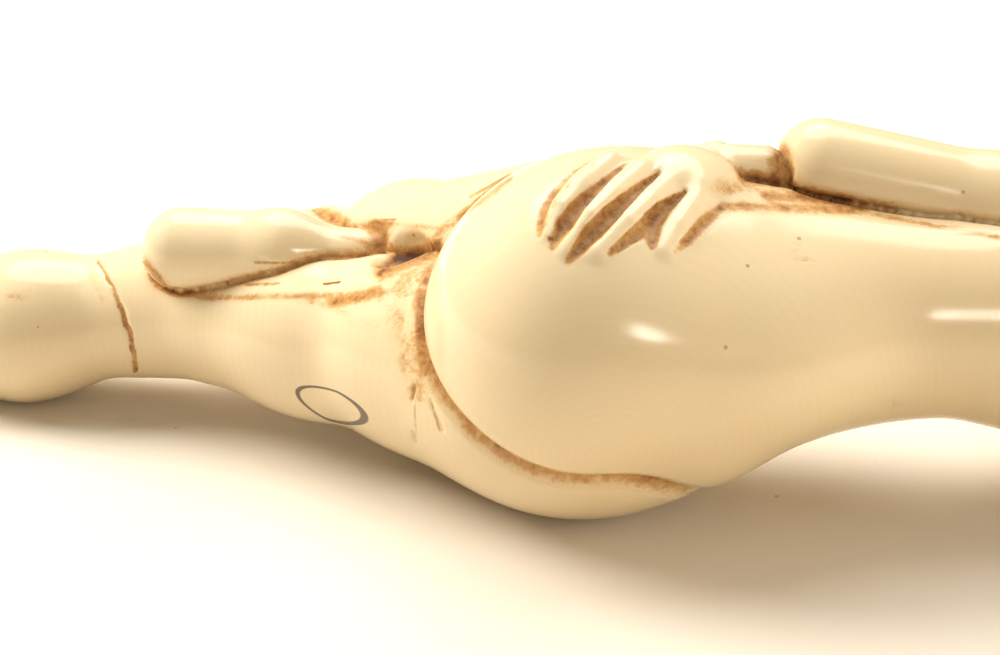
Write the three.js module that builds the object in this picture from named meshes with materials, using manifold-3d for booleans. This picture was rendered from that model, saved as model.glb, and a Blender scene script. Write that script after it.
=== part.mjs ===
// A reclining nude figure carved from one block of ivory, lying on its right side with its back to the front.
// Shape numbers are thousandths of the figure's length; X runs from the feet to the head, Z is up.
import * as THREE from "three";
import Module from "manifold-3d";
import { edgeTable, triTable } from "three/addons/objects/MarchingCubes.js";

const LENGTH_MM = 155;
const VIEW_TILT = THREE.MathUtils.degToRad(25); // the back is carved to be looked at from this far above
const CELL = 3; // spacing of the carving grid
const TRIANGLES = 9300;
const SINK = 2.5; // how far the rounded underside is rubbed flat where it rests
const GRID_LOW = [-8, -110, -12];
const GRID_HIGH = [1012, 270, 244];

// Main sizes
const BUTTOCK_RADIUS = 92.5;
const FLANK_RADIUS = 74;
const HIP_SIDE_RADII = [82, 74, 54];
const WAIST_RADII = [63, 60];
const CHEST_RADII = [84, 60, 76];
const RIGHT_THIGH_RADII = [62, 58, 47, 38];
const RIGHT_CALF_RADII = [37, 43, 17];
const RIGHT_FOOT_RADII = [18, 17, 13];
const LEFT_THIGH_RADII = [57, 43, 32];
const LEFT_SHIN_RADII = [29, 26, 13];
const LEFT_SOLE_RADII = [26, 23, 15];
const LEFT_ARM_RADII = [28, 27, 30];
const RIGHT_ARM_RADII = [31, 24, 15];
const PALM_RADII = [29, 25, 13];
const SKULL_RADII = [43, 50, 48];
const BUN_RADIUS = 25;
const LOCKS = 26;

const UP = [0, Math.sin(VIEW_TILT), Math.cos(VIEW_TILT)];
const TOWARD = [0, -Math.cos(VIEW_TILT), Math.sin(VIEW_TILT)];

// Small vector helpers

const add = (a, b, share = 1) => a.map((value, i) => value + b[i] * share);
const mix = (a, b, t) => a.map((value, i) => value + (b[i] - value) * t);
const dot = (a, b) => a[0] * b[0] + a[1] * b[1] + a[2] * b[2];
const unit = (a) => a.map((value) => value / Math.sqrt(dot(a, a)));
const cross = (a, b) => [a[1] * b[2] - a[2] * b[1], a[2] * b[0] - a[0] * b[2], a[0] * b[1] - a[1] * b[0]];
const clamp01 = (t) => Math.min(1, Math.max(0, t));

function ramp(low, high, value) {
  const t = clamp01((value - low) / (high - low));
  return t * t * (3 - 2 * t);
}

// Rounded forms: each returns a function giving the distance of a point from the form, negative inside

function ball(center, radius) {
  const [cx, cy, cz] = center;
  return (x, y, z) => Math.sqrt((x - cx) ** 2 + (y - cy) ** 2 + (z - cz) ** 2) - radius;
}

function egg(center, radii, axes = [[1, 0, 0], [0, 1, 0], [0, 0, 1]]) {
  const [u, v, w] = axes.map((axis, i) => axis.map((value) => value / radii[i]));
  const [cx, cy, cz] = center;
  const [ru, rv, rw] = radii;
  return (x, y, z) => {
    const px = x - cx;
    const py = y - cy;
    const pz = z - cz;
    const a = px * u[0] + py * u[1] + pz * u[2];
    const b = px * v[0] + py * v[1] + pz * v[2];
    const c = px * w[0] + py * w[1] + pz * w[2];
    const near = Math.sqrt(a * a + b * b + c * c);
    const slope = Math.sqrt((a / ru) ** 2 + (b / rv) ** 2 + (c / rw) ** 2);
    return slope < 1e-9 ? -Math.min(ru, rv, rw) : (near * (near - 1)) / slope;
  };
}

function limb(from, to, radiusFrom, radiusTo) {
  const axis = add(to, from, -1);
  const length2 = dot(axis, axis);
  const taper = radiusFrom - radiusTo;
  const side2 = length2 - taper * taper;
  return (x, y, z) => {
    const px = x - from[0];
    const py = y - from[1];
    const pz = z - from[2];
    const along = px * axis[0] + py * axis[1] + pz * axis[2];
    const beyond = along - length2;
    const qx = px * length2 - axis[0] * along;
    const qy = py * length2 - axis[1] * along;
    const qz = pz * length2 - axis[2] * along;
    const across2 = qx * qx + qy * qy + qz * qz;
    const limit = Math.sign(taper) * taper * taper * across2;
    if (Math.sign(beyond) * side2 * beyond * beyond * length2 > limit) {
      return Math.sqrt(across2 + beyond * beyond * length2) / length2 - radiusTo;
    }
    if (Math.sign(along) * side2 * along * along * length2 < limit) {
      return Math.sqrt(across2 + along * along * length2) / length2 - radiusFrom;
    }
    return (Math.sqrt((across2 * side2) / length2) + along * taper) / length2 - radiusFrom;
  };
}

function soft(a, b, reach) {
  const h = Math.max(reach - Math.abs(a - b), 0) / reach;
  return Math.min(a, b) - (h * h * reach) / 4;
}

function blend(reach, forms) {
  return (x, y, z) => {
    let d = forms[0](x, y, z);
    for (let i = 1; i < forms.length; i += 1) {
      d = soft(d, forms[i](x, y, z), reach);
    }
    return d;
  };
}

function chain(points, radii, reach = 10) {
  const pieces = [];
  for (let i = 1; i < points.length; i += 1) {
    pieces.push(limb(points[i - 1], points[i], radii[i - 1], radii[i]));
  }
  return blend(reach, pieces);
}

// Two forms pressed together, with a sharp cut line along the seam
function pressed(a, b, width, depth) {
  return Math.min(a, b) + depth * Math.max(0, 1 - Math.abs(a - b) / width);
}

// A soft V cut along a line of points
function cut(points, width, depth) {
  const line = chain(points, points.map(() => 0.01), 0.01);
  return (x, y, z) => depth * Math.max(0, 1 - (line(x, y, z) / width) ** 2) ** 2;
}

// The torso: the big left buttock, hip, waist and chest run into each other

function torso() {
  const leftButtock = ball([516, -2, 121.5], BUTTOCK_RADIUS);
  const flank = ball([556, 4, 96], FLANK_RADIUS);
  const hipSide = egg([600, -6, 120], HIP_SIDE_RADII);
  const hip = egg([550, 38, 123], [90, 66, 83]);
  const belly = egg([628, 46, 114], [88, 48, 62]);
  const waist = limb([610, 12, 122], [735, 14, 121], ...WAIST_RADII);
  const chest = egg([824, 16, 106], CHEST_RADII);
  const shoulders = limb([832, 20, 42], [834, 22, 152], 33, 29);
  const neck = limb([846, 20, 98], [902, 26, 104], 42, 24);
  const breasts = [egg([790, 60, 132], [36, 30, 30]), egg([788, 58, 80], [36, 30, 30])];
  const roundBack = blend(30, [blend(14, [leftButtock, flank]), hipSide]);
  const trunk = blend(38, [roundBack, hip, belly, waist, chest, shoulders]);
  return blend(16, [trunk, neck, ...breasts]);
}

// The right leg: flattened seat, thigh, knee, calf and slippered foot, all resting on or near the ground
function rightLeg() {
  const seat = egg([514, 10, 80], [102, 82, 80]);
  const thigh = chain([[500, 22, 82], [432, 50, 78], [354, 96, 70], [250, 148, 62]], RIGHT_THIGH_RADII, 26);
  const calf = chain([[246, 150, 61], [165, 152, 49], [84, 150, 25]], RIGHT_CALF_RADII, 26);
  const foot = chain([[96, 156, 18], [72, 148, 18], [13, 138, 12]], RIGHT_FOOT_RADII, 16);
  return blend(22, [blend(26, [seat, thigh]), calf, foot]);
}

const LEFT_KNEE = [318, 215, 62];
const LEFT_ANKLE = [404, 102, 126];
const LEFT_HEEL = [377, 101, 119];

function leftThigh() {
  return chain([[520, 40, 150], [415, 131, 107], LEFT_KNEE], LEFT_THIGH_RADII, 20);
}

function leftShin() {
  return chain([LEFT_KNEE, [343, 166, 92], LEFT_ANKLE], LEFT_SHIN_RADII, 14);
}

function leftFoot() {
  const sole = chain([[272, 120, 116], [334, 107, 121], LEFT_HEEL], LEFT_SOLE_RADII, 12);
  const heel = limb(LEFT_HEEL, LEFT_ANKLE, 15, 13);
  return blend(8, [sole, heel]);
}

// The left arm lies along the top of the body; the plump forearm overhangs a thinner wrist
function leftArm() {
  return chain([[651, 45, 199], [752, 37, 180], [836, 24, 156]], LEFT_ARM_RADII, 12);
}

function wrist() {
  return limb([598, 37, 199], [648, 44, 195], 16, 15);
}

// The right arm is folded on the ground with the hand under the head
const RIGHT_SHOULDER = [842, 22, 36];
const RIGHT_ELBOW = [902, 138, 25];
const RIGHT_WRIST = [952, 66, 38];
const RIGHT_PALM = [950, 30, 44];

function rightArm() {
  const arm = chain([RIGHT_SHOULDER, RIGHT_ELBOW, RIGHT_WRIST], RIGHT_ARM_RADII, 10);
  return blend(10, [arm, egg(RIGHT_PALM, [24, 42, 15])]);
}

// The point of a form that is seen at a place along the length and a rise up the tilted view
function seenOn(form, x, rise) {
  let point = add([x, 0, 0], UP, rise);
  point = add(point, TOWARD, 320);
  for (let i = 0; i < 200; i += 1) {
    const d = form(...point);
    if (d < 0.02) {
      break;
    }
    point = add(point, TOWARD, -d * 0.8);
  }
  return point;
}

function outward(form, point) {
  const step = 0.5;
  const slope = [0, 1, 2].map((i) => {
    const shift = [0, 0, 0];
    shift[i] = step;
    return form(...add(point, shift)) - form(...add(point, shift, -1));
  });
  return unit(slope);
}

function lifted(form, x, rise, height) {
  const point = seenOn(form, x, rise);
  return add(point, outward(form, point), height);
}

// The left hand: a raised pad over the hip, parted into three fingers and a little finger by cut hollows.
// Each line is given in length and rise, with a radius at every point.
const FINGERS = [
  { line: [[528, 200], [511, 186], [500, 173], [493, 158]], radii: [8, 7, 6.5, 6] },
  { line: [[545, 195], [529, 181], [516, 168], [503, 150]], radii: [9, 8, 7.5, 7] },
  { line: [[563, 190], [549, 177], [536, 165], [519, 148]], radii: [10, 9.5, 9, 8] },
  { line: [[579, 184], [571, 173], [564, 163], [556, 149]], radii: [11, 10, 9, 7.5] },
];
const FINGER_TOPS = [5.5, 5, 4.5, 2]; // how far each finger point stands up from the hip
const HOLLOWS = [
  { line: [[523, 201], [508, 193], [497.5, 181], [490, 168], [488, 156]], radii: [2, 2.5, 2.8, 2.8, 2] },
  { line: [[535, 194.5], [521.5, 183], [508.5, 170.5], [502.5, 162], [495.5, 150]], radii: [1.2, 3.4, 5, 4.8, 2.8] },
  { line: [[555.5, 191], [541, 180.5], [527, 168], [516, 157], [504, 142]], radii: [1.2, 3.6, 5.5, 5.5, 2.8] },
  { line: [[567, 179.5], [555, 171], [549, 164], [548, 151.5]], radii: [2, 4.5, 5.8, 3] },
  { line: [[549, 164], [528, 147.5]], radii: [5.2, 2.5] },
  { line: [[587, 171], [577, 163.5], [562, 148]], radii: [3, 3.2, 2] },
];
const HOLLOW_LIFT = 2.4;
const PALM = [576, 196];
const PALM_LIFT = -3;

function leftHand(body) {
  const back = lifted(body, ...PALM, PALM_LIFT);
  const normal = outward(body, back);
  const along = unit(cross(normal, [0, 0.35, 1]));
  const palm = egg(back, PALM_RADII, [along, cross(normal, along), normal]);
  const fingers = FINGERS.map(({ line, radii }) => {
    const points = line.map((place, i) => lifted(body, ...place, FINGER_TOPS[i] - radii[i]));
    return chain(points, radii, 0.5);
  });
  const thumb = chain([[592, 62, 195], [570, 82, 182], [548, 93, 166]], [13, 11, 8], 4);
  return blend(6, [palm, ...fingers, thumb]);
}

function betweenFingers(body) {
  const hollows = HOLLOWS.map(({ line, radii }) =>
    chain(line.map((place) => lifted(body, ...place, HOLLOW_LIFT)), radii, 0.5),
  );
  return blend(0.5, hollows);
}

// The head lies on the right hand, face turned away and a little up
const HEAD = [934, 34, 106];
const CROWN = unit([0.97, -0.1, 0.2]);
const FACE = unit(add([0.05, 0.9, 0.42], CROWN, -dot([0.05, 0.9, 0.42], CROWN)));
const EAR = cross(FACE, CROWN);
const HEAD_AXES = [EAR, FACE, CROWN];

function onHead(ear, face, crown) {
  return add(add(add(HEAD, EAR, ear), FACE, face), CROWN, crown);
}

function headEgg(place, radii) {
  return egg(onHead(...place), radii, HEAD_AXES);
}

function both(make) {
  return [make(-1), make(1)];
}

function face() {
  const skull = headEgg([0, -8, 10], SKULL_RADII);
  const front = headEgg([0, 8, -12], [35, 38, 48]);
  const chin = headEgg([0, 34, -50], [12, 11, 10]);
  const cheeks = both((side) => headEgg([side * 17, 30, -18], [14, 13, 16]));
  const nose = limb(onHead(0, 42, 4), onHead(0, 51, -21), 4, 6.5);
  const brow = headEgg([0, 37, 13], [27, 10, 7]);
  const sockets = both((side) => headEgg([side * 15, 52, 2], [10, 9, 7]));
  const lids = both((side) => headEgg([side * 15, 40, 1], [8.5, 7, 5.5]));
  const lips = [headEgg([0, 44, -34.5], [10, 5.5, 3]), headEgg([0, 43, -40], [8.5, 5.5, 3.2])];
  const mask = blend(10, [skull, front, chin, ...cheeks, brow]);
  const nosed = blend(5, [mask, nose]);
  return (x, y, z) => {
    let d = nosed(x, y, z);
    for (const socket of sockets) {
      d = -soft(-d, socket(x, y, z), 4);
    }
    for (const lid of lids) {
      d = soft(d, lid(x, y, z), 1.2);
    }
    return soft(d, Math.min(lips[0](x, y, z), lips[1](x, y, z)), 1.5);
  };
}

// Hair: a cap of combed locks drawn back to a coiled bun
const BUN = onHead(0, -56, 2);
const COMBED = [-62, -30]; // the locks fade out over this stretch, towards the bun

function hair() {
  const cap = headEgg([0, -9, 12], [47.5, 54, 52]);
  const bun = ball(BUN, BUN_RADIUS);
  return (x, y, z) => {
    const p = [x - HEAD[0], y - HEAD[1], z - HEAD[2]];
    const ear = dot(p, EAR);
    const forward = dot(p, FACE);
    const crown = dot(p, CROWN);
    const hairline = forward - 22 + 0.35 * Math.abs(ear) - 0.45 * (crown - 18);
    const angle = Math.atan2(crown - 2, ear);
    const combed = 1.5 * Math.sin(angle * LOCKS + 0.04 * forward) * ramp(...COMBED, forward);
    const capShape = Math.max(cap(x, y, z) + 0.7 * combed, hairline);
    const coil = Math.atan2(crown - 2, ear) * 3 + 0.35 * Math.sqrt(ear * ear + (crown - 2) ** 2);
    const bunShape = bun(x, y, z) + 0.9 * Math.sin(coil);
    return pressed(capShape, bunShape, 3, 1.5);
  };
}

// Everything together, with the fine lines cut in last
const KNEE_CREASE = [[222, 150], [234, 128], [244, 105], [248, 86]];
const SEAT_FOLDS = [[[419, 74], [418, 42]], [[428, 66], [435, 50]]];
const SOLE_LINES = [[[322, 148], [356, 148]], [[326, 140], [362, 137]]];
const CLOSED = [545, 625]; // the cleft between body and leg closes over this stretch

function figure() {
  const body = torso();
  const legRight = rightLeg();
  const thighLeft = leftThigh();
  const shinLeft = leftShin();
  const footLeft = leftFoot();
  const armLeft = leftArm();
  const wristLeft = wrist();
  const armRight = rightArm();
  const headFace = face();
  const headHair = hair();
  const hand = leftHand(body);
  const hollows = betweenFingers(body);
  const legs = (x, y, z) => {
    let d = pressed(legRight(x, y, z), thighLeft(x, y, z), 5, 3);
    d = pressed(d, shinLeft(x, y, z), 4, 2.5);
    return pressed(d, footLeft(x, y, z), 4, 2.5);
  };
  const lineOn = (form, line, width, depth) => cut(line.map((place) => seenOn(form, ...place)), width, depth);
  const lines = [
    lineOn(legRight, KNEE_CREASE, 2.6, 1.4),
    ...SEAT_FOLDS.map((line) => lineOn(legRight, line, 2.4, 1.2)),
    ...SOLE_LINES.map((line) => lineOn(footLeft, line, 2.2, 1)),
  ];
  const pocket = egg(seenOn(legs, 408, 152), [19, 18, 13]);
  return (x, y, z) => {
    const trunk = body(x, y, z);
    let legsHere = legs(x, y, z);
    legsHere = -soft(-legsHere, pocket(x, y, z), 5);
    for (const line of lines) {
      legsHere += line(x, y, z);
    }
    const closed = ramp(...CLOSED, x);
    const parted = pressed(trunk, legsHere, 4.5, 3.5);
    const joined = soft(trunk, legsHere, 34);
    let d = parted + (joined - parted) * closed;
    d = pressed(d, wristLeft(x, y, z), 5, 3);
    d = pressed(d, armLeft(x, y, z), 5, 4 * ramp(850, 800, x));
    d = soft(d, hand(x, y, z), 4);
    d = -soft(-d, hollows(x, y, z), 1);
    d = pressed(d, armRight(x, y, z), 4, 2 * ramp(845, 880, x));
    const headHere = pressed(headFace(x, y, z), headHair(x, y, z), 2, 1);
    return soft(d, headHere, 3);
  };
}

// Grid carving: cells far from the skin are skipped in blocks

function sampleGrid(form) {
  const counts = GRID_LOW.map((low, i) => Math.ceil((GRID_HIGH[i] - low) / CELL) + 1);
  const [nx, ny, nz] = counts;
  const values = new Float32Array(nx * ny * nz).fill(1);
  const block = 6;
  const reach = block * CELL * 1.1;
  for (let bz = 0; bz < nz; bz += block) {
    for (let by = 0; by < ny; by += block) {
      for (let bx = 0; bx < nx; bx += block) {
        const middle = [bx, by, bz].map((b, i) => GRID_LOW[i] + (b + block / 2) * CELL);
        const far = form(...middle);
        const skip = Math.abs(far) > reach;
        for (let k = bz; k < Math.min(bz + block, nz); k += 1) {
          for (let j = by; j < Math.min(by + block, ny); j += 1) {
            for (let i = bx; i < Math.min(bx + block, nx); i += 1) {
              const x = GRID_LOW[0] + i * CELL;
              const y = GRID_LOW[1] + j * CELL;
              const z = GRID_LOW[2] + k * CELL;
              values[i + nx * (j + ny * k)] = skip ? far : form(x, y, z);
            }
          }
        }
      }
    }
  }
  return { counts, values };
}

const CORNERS = [[0, 0, 0], [1, 0, 0], [1, 1, 0], [0, 1, 0], [0, 0, 1], [1, 0, 1], [1, 1, 1], [0, 1, 1]];
const EDGE_ENDS = [[0, 1], [1, 2], [2, 3], [3, 0], [4, 5], [5, 6], [6, 7], [7, 4], [0, 4], [1, 5], [2, 6], [3, 7]];

function skinOf(grid) {
  const [nx, ny, nz] = grid.counts;
  const index = (i, j, k) => i + nx * (j + ny * k);
  const known = new Map();
  const points = [];
  const triangles = [];
  const vertexOn = (i, j, k, edge) => {
    const [a, b] = EDGE_ENDS[edge].map((c) => CORNERS[c]);
    const first = index(i + a[0], j + a[1], k + a[2]);
    const second = index(i + b[0], j + b[1], k + b[2]);
    const key = Math.min(first, second) * 4 + a.findIndex((value, n) => value !== b[n]);
    if (!known.has(key)) {
      const t = clamp01(grid.values[first] / (grid.values[first] - grid.values[second]));
      const share = Math.min(0.9, Math.max(0.1, t));
      const place = [i, j, k].map((base, n) => GRID_LOW[n] + CELL * (base + a[n] + (b[n] - a[n]) * share));
      known.set(key, points.length);
      points.push(place);
    }
    return known.get(key);
  };
  for (let k = 0; k < nz - 1; k += 1) {
    for (let j = 0; j < ny - 1; j += 1) {
      for (let i = 0; i < nx - 1; i += 1) {
        let shape = 0;
        for (let c = 0; c < 8; c += 1) {
          const [dx, dy, dz] = CORNERS[c];
          if (grid.values[index(i + dx, j + dy, k + dz)] < 0) {
            shape |= 1 << c;
          }
        }
        if (edgeTable[shape] === 0) {
          continue;
        }
        for (let n = shape * 16; triTable[n] !== -1; n += 3) {
          const [a, b, c] = [0, 1, 2].map((m) => vertexOn(i, j, k, triTable[n + m]));
          triangles.push([a, c, b]);
        }
      }
    }
  }
  return { points, triangles };
}

// Quadric edge collapse: plain stretches of skin get few facets, hands and face keep many

const DETAIL = [
  { center: [545, -20, 195], radius: 75, weight: 5 },
  { center: [934, 75, 118], radius: 62, weight: 12 },
  { center: [325, 100, 125], radius: 80, weight: 2 },
  { center: [640, 20, 190], radius: 50, weight: 2 },
];

function detailAt(point) {
  let weight = 1;
  for (const spot of DETAIL) {
    const away = Math.sqrt(dot(add(point, spot.center, -1), add(point, spot.center, -1)));
    weight = Math.max(weight, 1 + (spot.weight - 1) * ramp(spot.radius, spot.radius * 0.7, away));
  }
  return weight;
}

class Heap {
  constructor() {
    this.items = [];
  }

  push(item) {
    const { items } = this;
    let i = items.length;
    items.push(item);
    while (i > 0) {
      const parent = (i - 1) >> 1;
      if (items[parent].cost <= item.cost) {
        break;
      }
      items[i] = items[parent];
      i = parent;
    }
    items[i] = item;
  }

  pop() {
    const { items } = this;
    const top = items[0];
    const last = items.pop();
    if (items.length > 0) {
      let i = 0;
      for (;;) {
        let child = 2 * i + 1;
        if (child >= items.length) {
          break;
        }
        if (child + 1 < items.length && items[child + 1].cost < items[child].cost) {
          child += 1;
        }
        if (last.cost <= items[child].cost) {
          break;
        }
        items[i] = items[child];
        i = child;
      }
      items[i] = last;
    }
    return top;
  }
}

function longestEdge2(a, b, c) {
  const sides = [add(b, a, -1), add(c, b, -1), add(a, c, -1)];
  return Math.max(...sides.map((side) => dot(side, side)));
}

function planeOf(points, triangle) {
  const [a, b, c] = triangle.map((v) => points[v]);
  const normal = cross(add(b, a, -1), add(c, a, -1));
  const size = Math.sqrt(dot(normal, normal));
  const fineness = size / longestEdge2(a, b, c);
  return { normal: normal.map((value) => value / (size || 1)), size, fineness, a };
}

function quadricOf(plane) {
  const [a, b, c] = plane.normal;
  const d = -dot(plane.normal, plane.a);
  return [a * a, a * b, a * c, a * d, b * b, b * c, b * d, c * c, c * d, d * d].map((q) => q * plane.size);
}

function quadricCost(q, [x, y, z]) {
  return (
    q[0] * x * x + 2 * q[1] * x * y + 2 * q[2] * x * z + 2 * q[3] * x +
    q[4] * y * y + 2 * q[5] * y * z + 2 * q[6] * y +
    q[7] * z * z + 2 * q[8] * z + q[9]
  );
}

function quadricBest(q, a, b) {
  const m = [[q[0], q[1], q[2]], [q[1], q[4], q[5]], [q[2], q[5], q[7]]];
  const r = [-q[3], -q[6], -q[8]];
  const columns = [0, 1, 2].map((n) => m.map((row) => row[n]));
  const det = dot(columns[0], cross(columns[1], columns[2]));
  const trace = q[0] + q[4] + q[7];
  const middle = mix(a, b, 0.5);
  if (Math.abs(det) > 1e-4 * trace ** 3) {
    const best = [
      dot(r, cross(columns[1], columns[2])) / det,
      dot(columns[0], cross(r, columns[2])) / det,
      dot(columns[0], cross(columns[1], r)) / det,
    ];
    const away = add(best, middle, -1);
    const edge = add(b, a, -1);
    if (dot(away, away) < 2 * dot(edge, edge)) {
      return best;
    }
  }
  const choices = [middle, a, b];
  choices.sort((p, s) => quadricCost(q, p) - quadricCost(q, s));
  return choices[0];
}

function simplified(mesh, wanted) {
  const { points, triangles } = mesh;
  const quadrics = points.map(() => new Array(10).fill(0));
  const around = points.map(() => new Set());
  const weights = points.map(detailAt);
  triangles.forEach((triangle, t) => {
    const q = quadricOf(planeOf(points, triangle));
    for (const v of triangle) {
      around[v].add(t);
      q.forEach((value, n) => {
        quadrics[v][n] += value * weights[v];
      });
    }
  });
  const stamp = points.map(() => 0);
  const heap = new Heap();
  const offer = (a, b) => {
    const q = quadrics[a].map((value, n) => value + quadrics[b][n]);
    const place = quadricBest(q, points[a], points[b]);
    const edge = add(points[a], points[b], -1);
    const cost = Math.max(0, quadricCost(q, place)) + 1e-4 * dot(edge, edge) * Math.max(weights[a], weights[b]);
    heap.push({ cost, a, b, place, stampA: stamp[a], stampB: stamp[b] });
  };
  const neighbours = (v) => {
    const found = new Set();
    for (const t of around[v]) {
      for (const w of triangles[t]) {
        if (w !== v) {
          found.add(w);
        }
      }
    }
    return found;
  };
  const offerAll = () => {
    points.forEach((_, v) => {
      for (const w of neighbours(v)) {
        if (v < w) {
          offer(v, w);
        }
      }
    });
  };
  const keepsFacing = (v, other, place) => {
    for (const t of around[v]) {
      if (triangles[t].includes(other)) {
        continue;
      }
      const before = planeOf(points, triangles[t]);
      const [a, b, c] = triangles[t].map((w) => (w === v ? place : points[w]));
      const normal = cross(add(b, a, -1), add(c, a, -1));
      const size = Math.sqrt(dot(normal, normal));
      const longest = longestEdge2(a, b, c);
      const fineness = size / longest;
      const thinner = fineness < 0.1 && fineness < before.fineness;
      const turned = before.fineness > 0.05 && dot(normal, before.normal) < 0.25 * size;
      if (thinner || turned) {
        return false;
      }
    }
    return true;
  };
  let count = triangles.length;
  const alive = triangles.map(() => true);
  let countBefore = 0;
  while (count > wanted) {
    if (heap.items.length === 0) {
      if (count === countBefore) {
        break;
      }
      countBefore = count;
      offerAll();
    }
    const { a, b, place, stampA, stampB } = heap.pop();
    if (stampA !== stamp[a] || stampB !== stamp[b] || around[a].size === 0 || around[b].size === 0) {
      continue;
    }
    const shared = [...around[a]].filter((t) => around[b].has(t));
    const nextToB = neighbours(b);
    const common = [...neighbours(a)].filter((v) => nextToB.has(v));
    if (shared.length !== 2 || common.length !== 2) {
      continue;
    }
    if (!keepsFacing(a, b, place) || !keepsFacing(b, a, place)) {
      continue;
    }
    points[a] = place;
    quadrics[b].forEach((value, n) => {
      quadrics[a][n] += value;
    });
    weights[a] = Math.max(weights[a], weights[b]);
    for (const t of shared) {
      alive[t] = false;
      count -= 1;
      for (const v of triangles[t]) {
        around[v].delete(t);
      }
    }
    for (const t of around[b]) {
      triangles[t] = triangles[t].map((v) => (v === b ? a : v));
      around[a].add(t);
    }
    around[b].clear();
    stamp[a] += 1;
    stamp[b] += 1;
    for (const v of neighbours(a)) {
      offer(a, v);
    }
  }
  return { points, triangles: triangles.filter((_, t) => alive[t]) };
}

// The finished solid: sized, rubbed flat underneath and set on the ground

function largestPiece(mesh) {
  const parent = mesh.points.map((_, i) => i);
  const find = (i) => {
    let root = i;
    while (parent[root] !== root) {
      root = parent[root];
    }
    parent[i] = root;
    return root;
  };
  for (const [a, b, c] of mesh.triangles) {
    parent[find(b)] = find(a);
    parent[find(c)] = find(a);
  }
  const sizes = new Map();
  for (const [a] of mesh.triangles) {
    sizes.set(find(a), (sizes.get(find(a)) ?? 0) + 1);
  }
  const main = [...sizes].sort((p, q) => q[1] - p[1])[0][0];
  return { points: mesh.points, triangles: mesh.triangles.filter(([a]) => find(a) === main) };
}

function solidOf(wasm, mesh) {
  const used = [...new Set(mesh.triangles.flat())];
  const place = new Map(used.map((v, i) => [v, i]));
  const vertProperties = new Float32Array(used.flatMap((v) => mesh.points[v]));
  const triVerts = new Uint32Array(mesh.triangles.flat().map((v) => place.get(v)));
  return new wasm.Manifold(new wasm.Mesh({ numProp: 3, vertProperties, triVerts }));
}

function blockSolid(wasm, low, high) {
  const geometry = new THREE.BoxGeometry(...add(high, low, -1)).translate(...mix(low, high, 0.5));
  const corners = geometry.attributes.position;
  const known = new Map();
  const points = [];
  const place = [];
  for (let i = 0; i < corners.count; i += 1) {
    const point = [corners.getX(i), corners.getY(i), corners.getZ(i)];
    const key = point.join(" ");
    if (!known.has(key)) {
      known.set(key, points.length);
      points.push(point);
    }
    place.push(known.get(key));
  }
  const flat = Array.from(geometry.index.array, (v) => place[v]);
  const triangles = Array.from({ length: flat.length / 3 }, (_, t) => flat.slice(3 * t, 3 * t + 3));
  return solidOf(wasm, { points, triangles });
}

function geometryOf(mesh) {
  const geometry = new THREE.BufferGeometry();
  geometry.setAttribute("position", new THREE.BufferAttribute(new Float32Array(mesh.vertProperties), 3));
  geometry.setIndex(new THREE.BufferAttribute(new Uint32Array(mesh.triVerts), 1));
  geometry.computeBoundingBox();
  const box = geometry.boundingBox;
  const scale = LENGTH_MM / (box.max.x - box.min.x);
  geometry.translate(-(box.min.x + box.max.x) / 2, -(box.min.y + box.max.y) / 2, -box.min.z);
  geometry.scale(scale, scale, scale);
  geometry.computeVertexNormals();
  return geometry;
}

const BELOW_LOW = [-100, -300, -100];
const BELOW_HIGH = [1100, 400];

const wasm = await Module();
wasm.setup();

const carved = simplified(largestPiece(skinOf(sampleGrid(figure()))), TRIANGLES);
const below = blockSolid(wasm, BELOW_LOW, [BELOW_HIGH[0], BELOW_HIGH[1], SINK]);
const rested = solidOf(wasm, carved).subtract(below);

const ivory = new THREE.MeshStandardMaterial({ color: 0xf0dcb8, roughness: 0.35 });
const mesh = new THREE.Mesh(geometryOf(rested.getMesh()), ivory);
mesh.name = "figure";
const group = new THREE.Group();
group.add(mesh);
export default group;
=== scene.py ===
import math
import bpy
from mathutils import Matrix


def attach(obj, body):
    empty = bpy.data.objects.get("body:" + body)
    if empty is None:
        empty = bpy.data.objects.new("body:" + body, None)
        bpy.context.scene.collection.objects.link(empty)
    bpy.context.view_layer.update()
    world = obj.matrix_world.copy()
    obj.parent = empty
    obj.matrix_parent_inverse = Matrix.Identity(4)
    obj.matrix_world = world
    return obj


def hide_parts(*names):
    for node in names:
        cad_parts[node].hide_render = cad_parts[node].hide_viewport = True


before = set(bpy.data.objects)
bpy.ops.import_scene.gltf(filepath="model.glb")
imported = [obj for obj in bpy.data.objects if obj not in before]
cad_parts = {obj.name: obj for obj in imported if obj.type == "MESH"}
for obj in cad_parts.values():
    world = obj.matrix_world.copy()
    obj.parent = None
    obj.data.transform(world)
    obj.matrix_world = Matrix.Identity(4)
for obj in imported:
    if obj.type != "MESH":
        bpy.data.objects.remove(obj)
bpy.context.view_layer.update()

from concurrent.futures import ThreadPoolExecutor

import bpy
import numpy as np
from mathutils import Vector

# The carving is described in thousandths of its own length, X from the feet to the head, Z up. Its middle
# goes to the origin, and one thousandth is this many metres.
CARVING_MIDDLE = np.array([499.354, 75.941, 2.5])
THOUSANDTH = 0.15523488e-3
FLAT_UNDERSIDE = 2.5

# The usual view of the back: its tilt and directions, where it looks, and the size of its picture
VIEW_TILT = math.radians(25)
UP = np.array([0, math.sin(VIEW_TILT), math.cos(VIEW_TILT)])
TOWARD = np.array([0, -math.cos(VIEW_TILT), math.sin(VIEW_TILT)])
LOOK_AT = Vector((-0.005, 0, 0.0125))
CAMERA_DISTANCE = 0.22
CAMERA_ANGLE = math.radians(24.1)
VIEW_SIZE = (1000, 655)

# How finely the skin is carved: facet size before thinning, facets kept, points worked at a time, the
# step over which its slope is read, and the share of the way that a point moves in one pass
VOXEL = 0.00024
FACES_KEPT = 194000
BATCH = 12000
WORKERS = 4
SLOPE_STEP = 0.35
PASS_SHARE = 0.9

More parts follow.
